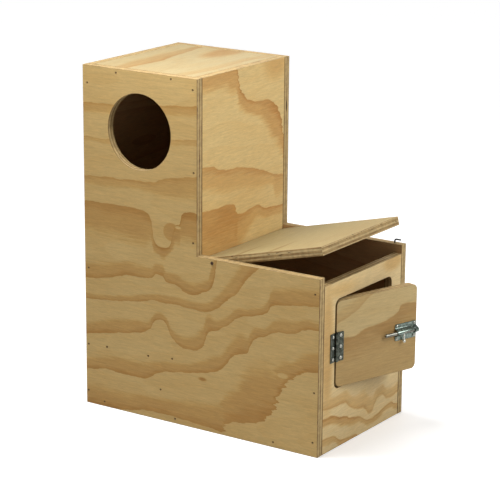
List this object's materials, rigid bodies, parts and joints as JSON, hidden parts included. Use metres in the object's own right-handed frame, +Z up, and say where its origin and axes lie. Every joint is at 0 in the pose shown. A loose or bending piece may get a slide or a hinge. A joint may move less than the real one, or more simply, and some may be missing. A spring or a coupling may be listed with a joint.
{
  "type": "bird nest box",
  "caption": "L-shaped plywood nest box: tall tower with a round entrance hole, low nest chamber with a pivoting lid, and a hinged inspection door with a barrel bolt.",
  "frame": {"origin": "middle of the box's footprint, on the plane that it stands on", "axes": "+Z up; +X from the tower to the end wall with the door; the entrance hole faces -Y"},
  "size_m": [0.5506, 0.2826, 0.61],
  "materials": {
    "ply_face": "sanded bare pine plywood with bold rotary-cut figure",
    "ply_pale": "sanded bare pine plywood with faint figure",
    "ply_inner": "bare plywood, unsanded inner face",
    "zinc": "bright zinc plate",
    "ladder_wire": "galvanised wire",
    "dark_steel": "dull darkened steel"
  },
  "bodies": {
    "box": {"front_panel": "ply_face", "back_panel": "ply_face", "left_wall": "ply_face", "tower_wall": "ply_face", "top_panel": "ply_pale", "floor_panel": "ply_inner", "end_panel": "ply_face", "landing_shelf": "ply_inner", "landing_riser": "ply_inner", "ladder": "ladder_wire", "ladder_staple_1": "ladder_wire", "ladder_staple_2": "ladder_wire", "ladder_staple_3": "ladder_wire", "ladder_staple_4": "ladder_wire", "lid_pivot_front": "dark_steel", "lid_pivot_back": "dark_steel", "hinge_fixed_leaf": "zinc", "hinge_pin": "zinc", "hinge_fixed_screw_1": "zinc", "hinge_fixed_screw_2": "zinc", "hinge_fixed_screw_3": "zinc", "keeper": "zinc", "keeper_screw_1": "zinc", "keeper_screw_2": "zinc"},
    "lid": {"lid": "ply_pale"},
    "lid_hook": {"lid_hook": "dark_steel"},
    "door": {"door": "ply_face", "hinge_door_leaf": "zinc", "hinge_door_screw_1": "zinc", "hinge_door_screw_2": "zinc", "hinge_door_screw_3": "zinc", "bolt_plate": "zinc", "bolt_screw_1": "zinc", "bolt_screw_2": "zinc", "bolt_screw_3": "zinc", "bolt_screw_4": "zinc"},
    "bolt_rod": {"bolt_rod": "zinc"},
    "bolt_knob": {"bolt_knob": "zinc"}
  },
  "joints": [
    {"name": "lid_hinge", "type": "hinge", "parent": "box", "child": "lid", "pos_m": [0.029, 0, 0.301], "axis": [0, -1, 0], "range_deg": [-13.7, 82]},
    {"name": "door_hinge", "type": "hinge", "parent": "box", "child": "door", "pos_m": [0.2455, -0.08875, 0.18], "axis": [0, 0, -1], "range_deg": [-18.3, 151.7]},
    {"name": "bolt_slide", "type": "slide", "parent": "door", "child": "bolt_rod", "axis": [0.314, 0.9494, 0], "range_m": [0, 0.02]},
    {"name": "knob_turn", "type": "hinge", "parent": "bolt_rod", "child": "bolt_knob", "pos_m": [0.29431, 0.04994, 0.18], "axis": [-0.314, -0.9494, 0], "range_deg": [0, 90]},
    {"name": "hook_turn", "type": "hinge", "parent": "box", "child": "lid_hook", "pos_m": [0.224, 0.1325, 0.308], "axis": [0, 0, -1], "range_deg": [-90, 90]}
  ]
}
